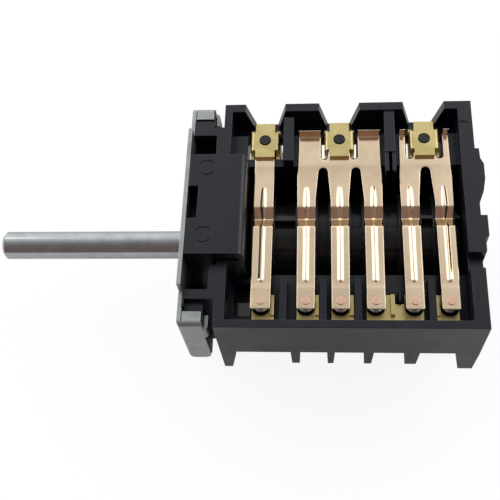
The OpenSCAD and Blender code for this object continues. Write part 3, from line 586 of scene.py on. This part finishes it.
def comb_outline(centres, width, clip_x):
    """Plan of a comb: down its left side, round its fingers, and back along its rear."""
    left, right = centres[0] - width / 2, centres[-1] + width / 2
    outline = [(left + inset, y) for inset, y in COMB_SIDE]
    for i, x in enumerate(centres):
        if i:
            outline += finger_slot(centres[i - 1], x, width)
        outline += finger_tip(x, width)
    outline += [(right - inset, y) for inset, y in reversed(COMB_SIDE)]
    outline += clip_slot(clip_x + CLIP_SLOT_X, LIP_Y, COMB_ROOT_Y)
    return outline + clip_slot(clip_x - CLIP_SLOT_X, COMB_ROOT_Y, LIP_Y)


def peg_hole(x):
    """Outline of the hole round the peg at x."""
    return arc(x, PEG_Y, PEG_HOLE_R, 360, 12, 30)


def add_single_spring(node, x, width):
    left, right = x - width / 2, x + width / 2
    outline = [(left, SINGLE_ROOT_Y), *finger_tip(x, width), (right, SINGLE_ROOT_Y)]
    sheet = sheet_from_plan(outline, peg_hole(x), [x])
    add_piece(node + "_formed", [sheet], "spring_bronze", node)


def add_comb_spring(node, centres, width, clip_x):
    outline = comb_outline(centres, width, clip_x)
    lip_half = CLIP_SLOT_X + CLIP_SLOT_R
    parts = [
        sheet_from_plan(outline, peg_hole(clip_x), centres),
        turned_up_lip(centres[0] - width / 2 + LIP_INSET, clip_x - lip_half),
        turned_up_lip(clip_x + lip_half, centres[-1] + width / 2 - LIP_INSET)]
    add_piece(node + "_formed", parts, "spring_bronze", node)


add_single_spring("leaf_spring_single", FINGER_X[0], SINGLE_WIDTH)
add_comb_spring("leaf_spring_triple", FINGER_X[1:4], FINGER_WIDTH, TRIPLE_CLIP_X)
add_comb_spring("leaf_spring_double", FINGER_X[4:], FINGER_WIDTH, DOUBLE_CLIP_X)


# Detent springs, made again as smooth coils
WIRE_R = 0.3
COILS = 4
COIL_STEPS, WIRE_SIDES = 28, 10

# How far up the coil has come after each turn: its end turns lie almost flat
COIL_RISE = [(0, 0), (0.85, 0.12), (COILS - 0.85, 0.88), (COILS, 1)]


def coil(centre_x, radius, low, high):
    """Vertices in mm and faces of a wire coil along Z, its end turns lying flat."""
    steps, around = COILS * COIL_STEPS, WIRE_SIDES
    up = np.array([0, 0, 1])
    verts = []
    for i in range(steps + 1):
        turn = COILS * i / steps
        angle = 2 * math.pi * turn
        out = np.array([math.cos(angle), math.sin(angle), 0])
        height = low + (high - low) * between(turn, COIL_RISE)
        middle = np.array([centre_x, 0, height]) + radius * out
        for k in range(around):
            side = 2 * math.pi * k / around
            verts.append(middle + WIRE_R * (math.cos(side) * out + math.sin(side) * up))
    faces = []
    for i in range(steps):
        for k in range(around):
            a, b = i * around + k, i * around + (k + 1) % around
            faces.append((a, a + around, b + around, b))
    last = steps * around
    faces += [tuple(range(around)), tuple(range(last, last + around))[::-1]]
    return np.array(verts), faces


def add_detent_spring(side, sign):
    node = "detent_spring_" + side
    low, high = (Vector(corner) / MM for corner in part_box(node))
    near, far = sorted((abs(low.z), abs(high.z)))
    coil_r = (high.y - low.y) / 2 - WIRE_R
    verts, faces = coil((low.x + high.x) / 2, coil_r, near + WIRE_R, far - WIRE_R)
    verts[:, 2] *= sign
    if sign < 0:
        faces = [face[::-1] for face in faces]
    piece = add_piece(node + "_wound", [(verts, faces)], "shaft_steel", node)
    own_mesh(piece)


add_detent_spring("upper", 1)
add_detent_spring("lower", -1)


# Studio: a white floor, a room that is bright behind and dark in front, two soft lamps
def background_share(tree, seen, mirrored):
    """How much of the plain white background a ray gets: as seen, or in metal and glass."""
    path = tree.nodes.new("ShaderNodeLightPath")
    shares = {"Is Camera Ray": seen, "Is Glossy Ray": mirrored, "Is Transmission Ray": mirrored}
    total = None
    for ray, share in shares.items():
        scaled = tree.nodes.new("ShaderNodeMath")
        scaled.operation = "MULTIPLY_ADD"
        scaled.inputs[1].default_value = share
        scaled.inputs[2].default_value = 0
        tree.links.new(path.outputs[ray], scaled.inputs[0])
        if total:
            tree.links.new(total, scaled.inputs[2])
        total = scaled.outputs["Value"]
    return total


# The seen floor is mostly its own white, with enough of its lit surface to keep the shadow
FLOOR_REACH = 1.2
FLOOR_GLOW = 1.12
FLOOR_SEEN, FLOOR_MIRRORED = 0.8, 0.15


def add_floor():
    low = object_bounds()[0][2]
    square = (-1, -1), (1, -1), (1, 1), (-1, 1)
    corners = [(x * FLOOR_REACH, y * FLOOR_REACH, low) for x, y in square]
    mesh = bpy.data.meshes.new("floor")
    mesh.from_pydata(corners, [], [(0, 1, 2, 3)])
    floor = bpy.data.objects.new("floor", mesh)
    bpy.context.scene.collection.objects.link(floor)
    material = bpy.data.materials.new("floor")
    material.use_nodes = True
    tree = material.node_tree
    surface = tree.nodes["Principled BSDF"]
    surface.inputs["Base Color"].default_value = (0.82, 0.82, 0.82, 1)
    surface.inputs["Roughness"].default_value = 0.9
    glow = tree.nodes.new("ShaderNodeEmission")
    glow.inputs["Strength"].default_value = FLOOR_GLOW
    blend = tree.nodes.new("ShaderNodeMixShader")
    tree.links.new(background_share(tree, FLOOR_SEEN, FLOOR_MIRRORED), blend.inputs["Fac"])
    tree.links.new(surface.outputs["BSDF"], blend.inputs[1])
    tree.links.new(glow.outputs["Emission"], blend.inputs[2])
    tree.links.new(blend.outputs["Shader"], tree.nodes["Material Output"].inputs["Surface"])
    mesh.materials.append(material)


# What shiny surfaces see of the room: (lean, colour) from dark and warm in front, over dim
# overhead, to bright behind. The lean is a direction's Y, and more towards both sides.
ROOM = [
    (-0.6, (0.17, 0.10, 0.09)), (-0.15, (0.19, 0.165, 0.16)), (0.15, (0.30, 0.30, 0.31)),
    (0.36, (0.44, 0.45, 0.46)), (0.52, (0.66, 0.67, 0.68)), (0.85, (1.05, 1.05, 1.05))]
BRIGHTEST = 1.05
SIDE_LEAN = 0.8
ROOM_MIRRORED = 0.06


def add_world():
    world = bpy.data.worlds.new("studio")
    bpy.context.scene.world = world
    world.use_nodes = True
    tree = world.node_tree
    tree.nodes.clear()
    add, link = tree.nodes.new, tree.links.new

    def calc(operation, a, b=0.0):
        made = add("ShaderNodeMath")
        made.operation = operation
        for socket, value in zip(made.inputs, (a, b)):
            if isinstance(value, float):
                socket.default_value = value
            else:
                link(value, socket)
        return made.outputs["Value"]

    split = add("ShaderNodeSeparateXYZ")
    link(add("ShaderNodeTexCoord").outputs["Generated"], split.inputs["Vector"])
    to_side = calc("MULTIPLY", calc("ABSOLUTE", split.outputs["X"]), SIDE_LEAN)
    lean = calc("ADD", split.outputs["Y"], to_side)
    ramp = add("ShaderNodeValToRGB")
    points = ramp.color_ramp.elements
    while len(points) < len(ROOM):
        points.new(0.5)
    for point, (lean_at, colour) in zip(points, ROOM):
        point.position = (lean_at + 1) / 2
        point.color = (*(channel / BRIGHTEST for channel in colour), 1)
    link(calc("MULTIPLY", calc("ADD", lean, 1.0), 0.5), ramp.inputs["Fac"])
    studio = add("ShaderNodeBackground")
    studio.inputs["Strength"].default_value = BRIGHTEST
    link(ramp.outputs["Color"], studio.inputs["Color"])
    white = add("ShaderNodeBackground")
    white.inputs["Color"].default_value = (1, 1, 1, 1)
    blend = add("ShaderNodeMixShader")
    link(background_share(tree, 1.0, ROOM_MIRRORED), blend.inputs["Fac"])
    link(studio.outputs["Background"], blend.inputs[1])
    link(white.outputs["Background"], blend.inputs[2])
    link(blend.outputs["Shader"], add("ShaderNodeOutputWorld").inputs["Surface"])


LAMP_TARGET = Vector((0.02, 0, 0))
LAMP_SIZE = 0.6, 0.4
LAMP_POWER = 0.85
LAMP_COLOUR = (1.0, 0.99, 0.97)


def add_lamp(name, at):
    """A soft rectangular lamp that faces the object."""
    data = bpy.data.lights.new(name, "AREA")
    data.shape = "RECTANGLE"
    data.size, data.size_y = LAMP_SIZE
    data.energy = LAMP_POWER
    data.color = LAMP_COLOUR
    lamp = bpy.data.objects.new(name, data)
    bpy.context.scene.collection.objects.link(lamp)
    lamp.location = at
    lamp.rotation_euler = (LAMP_TARGET - Vector(at)).to_track_quat("-Z", "Y").to_euler()


add_camera()
add_floor()
add_world()
add_lamp("left_softbox", (-0.50, 0.26, 0.40))
add_lamp("right_softbox", (0.54, 0.26, 0.40))
bpy.context.scene.view_settings.view_transform = "Standard"
